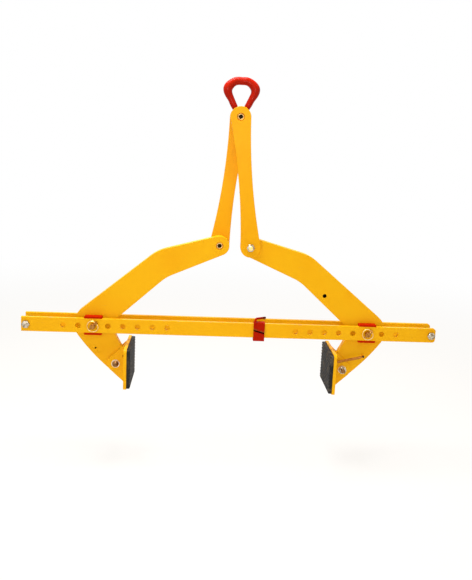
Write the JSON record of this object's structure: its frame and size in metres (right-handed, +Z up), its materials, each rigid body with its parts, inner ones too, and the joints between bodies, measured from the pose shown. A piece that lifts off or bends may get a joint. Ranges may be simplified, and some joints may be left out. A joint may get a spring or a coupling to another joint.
{
  "type": "block lifting clamp",
  "caption": "Toggle clamp that hangs from a crane hook: links spread two bent levers on an adjustable crossbar, so that lined jaws grip a block by its sides.",
  "frame": {"origin": "the hook's seat, inside the top of the lifting ring", "axes": "+X along the crossbar to the right, +Y to the rear, +Z up"},
  "size_m": [1.42, 0.18, 1.0506],
  "materials": {
    "yellow_paint": "yellow gloss paint",
    "forged_red": "red paint on a forging",
    "red_paint": "red paint",
    "zinc": "bright zinc plating",
    "bright_steel": "turned steel",
    "bronze": "sintered bronze",
    "spring_steel": "drawn spring wire",
    "lining": "ribbed black rubber"
  },
  "bodies": {
    "ring": {"lifting_ring": "forged_red"},
    "front_link": {"front_link": "yellow_paint", "top_bolt": "zinc", "top_nut": "zinc", "top_thrust_washers": "bright_steel", "right_elbow_bolt": "zinc", "right_elbow_nut": "zinc", "right_elbow_thrust_washer": "bright_steel"},
    "rear_link": {"rear_link": "yellow_paint", "left_elbow_bolt": "zinc", "left_elbow_nut": "zinc", "left_elbow_thrust_washer": "bright_steel"},
    "right_lever": {"right_lever": "yellow_paint", "right_elbow_bush": "bronze", "right_hub_bush": "bronze", "right_lever_spring_post": "bright_steel", "right_jaw_spring": "spring_steel"},
    "left_lever": {"left_lever": "yellow_paint", "left_elbow_bush": "bronze", "left_hub_bush": "bronze", "left_lever_spring_post": "bright_steel", "left_jaw_spring": "spring_steel"},
    "crossbar": {"front_bar": "yellow_paint", "rear_bar": "yellow_paint", "end_bolts": "zinc", "end_washers": "zinc", "end_nuts": "zinc", "end_spacers": "bright_steel", "right_front_shoe": "red_paint", "right_rear_shoe": "red_paint", "left_front_shoe": "red_paint", "left_rear_shoe": "red_paint", "right_pivot_pin": "zinc", "left_pivot_pin": "zinc", "right_linch_pin": "zinc", "left_linch_pin": "zinc"},
    "right_linch_ring": {"right_linch_ring": "zinc"},
    "left_linch_ring": {"left_linch_ring": "zinc"},
    "keeper_clip": {"keeper_clip": "red_paint"},
    "right_jaw": {"right_jaw": "yellow_paint", "right_jaw_lining": "lining", "right_jaw_bolt": "zinc", "right_jaw_nut": "zinc", "right_jaw_washers": "zinc", "right_jaw_spring_post": "bright_steel"},
    "left_jaw": {"left_jaw": "yellow_paint", "left_jaw_lining": "lining", "left_jaw_bolt": "zinc", "left_jaw_nut": "zinc", "left_jaw_washers": "zinc", "left_jaw_spring_post": "bright_steel"}
  },
  "joints": [
    {"name": "ring_swing", "type": "hinge", "parent": "ring", "child": "front_link", "pos_m": [0, 0, -0.102], "axis": [0, 1, 0], "range_deg": [-60, 60]},
    {"name": "link_spread", "type": "hinge", "parent": "front_link", "child": "rear_link", "pos_m": [0, 0, -0.102], "axis": [0, 1, 0], "range_deg": [-4.6, 11.18]},
    {"name": "right_elbow", "type": "hinge", "parent": "front_link", "child": "right_lever", "pos_m": [0.052, 0, -0.53207], "axis": [0, 1, 0], "range_deg": [-6.1, 13.8]},
    {"name": "left_elbow", "type": "hinge", "parent": "rear_link", "child": "left_lever", "pos_m": [-0.052, 0, -0.53207], "axis": [0, -1, 0], "range_deg": [-6.1, 13.8]},
    {"name": "crossbar_level", "type": "hinge", "parent": "right_lever", "child": "crossbar", "pos_m": [0.47, 0, -0.81777], "axis": [0, -1, 0], "range_deg": [-3.6, 8.1]},
    {"name": "right_jaw_tilt", "type": "hinge", "parent": "right_lever", "child": "right_jaw", "pos_m": [0.394, 0, -0.95327], "axis": [0, 1, 0], "range_deg": [-10, 10], "stiffness_Nm_per_rad": 20, "springref_deg": 2.75, "deforming": ["right_jaw_spring"]},
    {"name": "left_jaw_tilt", "type": "hinge", "parent": "left_lever", "child": "left_jaw", "pos_m": [-0.394, 0, -0.95327], "axis": [0, -1, 0], "range_deg": [-10, 10], "stiffness_Nm_per_rad": 20, "springref_deg": 2.75, "deforming": ["left_jaw_spring"]},
    {"name": "right_linch_flip", "type": "hinge", "parent": "crossbar", "child": "right_linch_ring", "pos_m": [0.48046, -0.044, -0.8073], "axis": [-0.7071, 0, 0.7071], "range_deg": [0, 100]},
    {"name": "left_linch_flip", "type": "hinge", "parent": "crossbar", "child": "left_linch_ring", "pos_m": [-0.45954, -0.044, -0.8073], "axis": [-0.7071, 0, 0.7071], "range_deg": [0, 100]},
    {"name": "keeper_slide", "type": "slide", "parent": "crossbar", "child": "keeper_clip", "axis": [1, 0, 0], "range_m": [-0.36, 0.2]}
  ],
  "couplings": [
    {"joint": "right_elbow", "follows": "link_spread", "ratio": 1.21},
    {"joint": "left_elbow", "follows": "link_spread", "ratio": 1.21},
    {"joint": "crossbar_level", "follows": "link_spread", "ratio": 0.71}
  ]
}
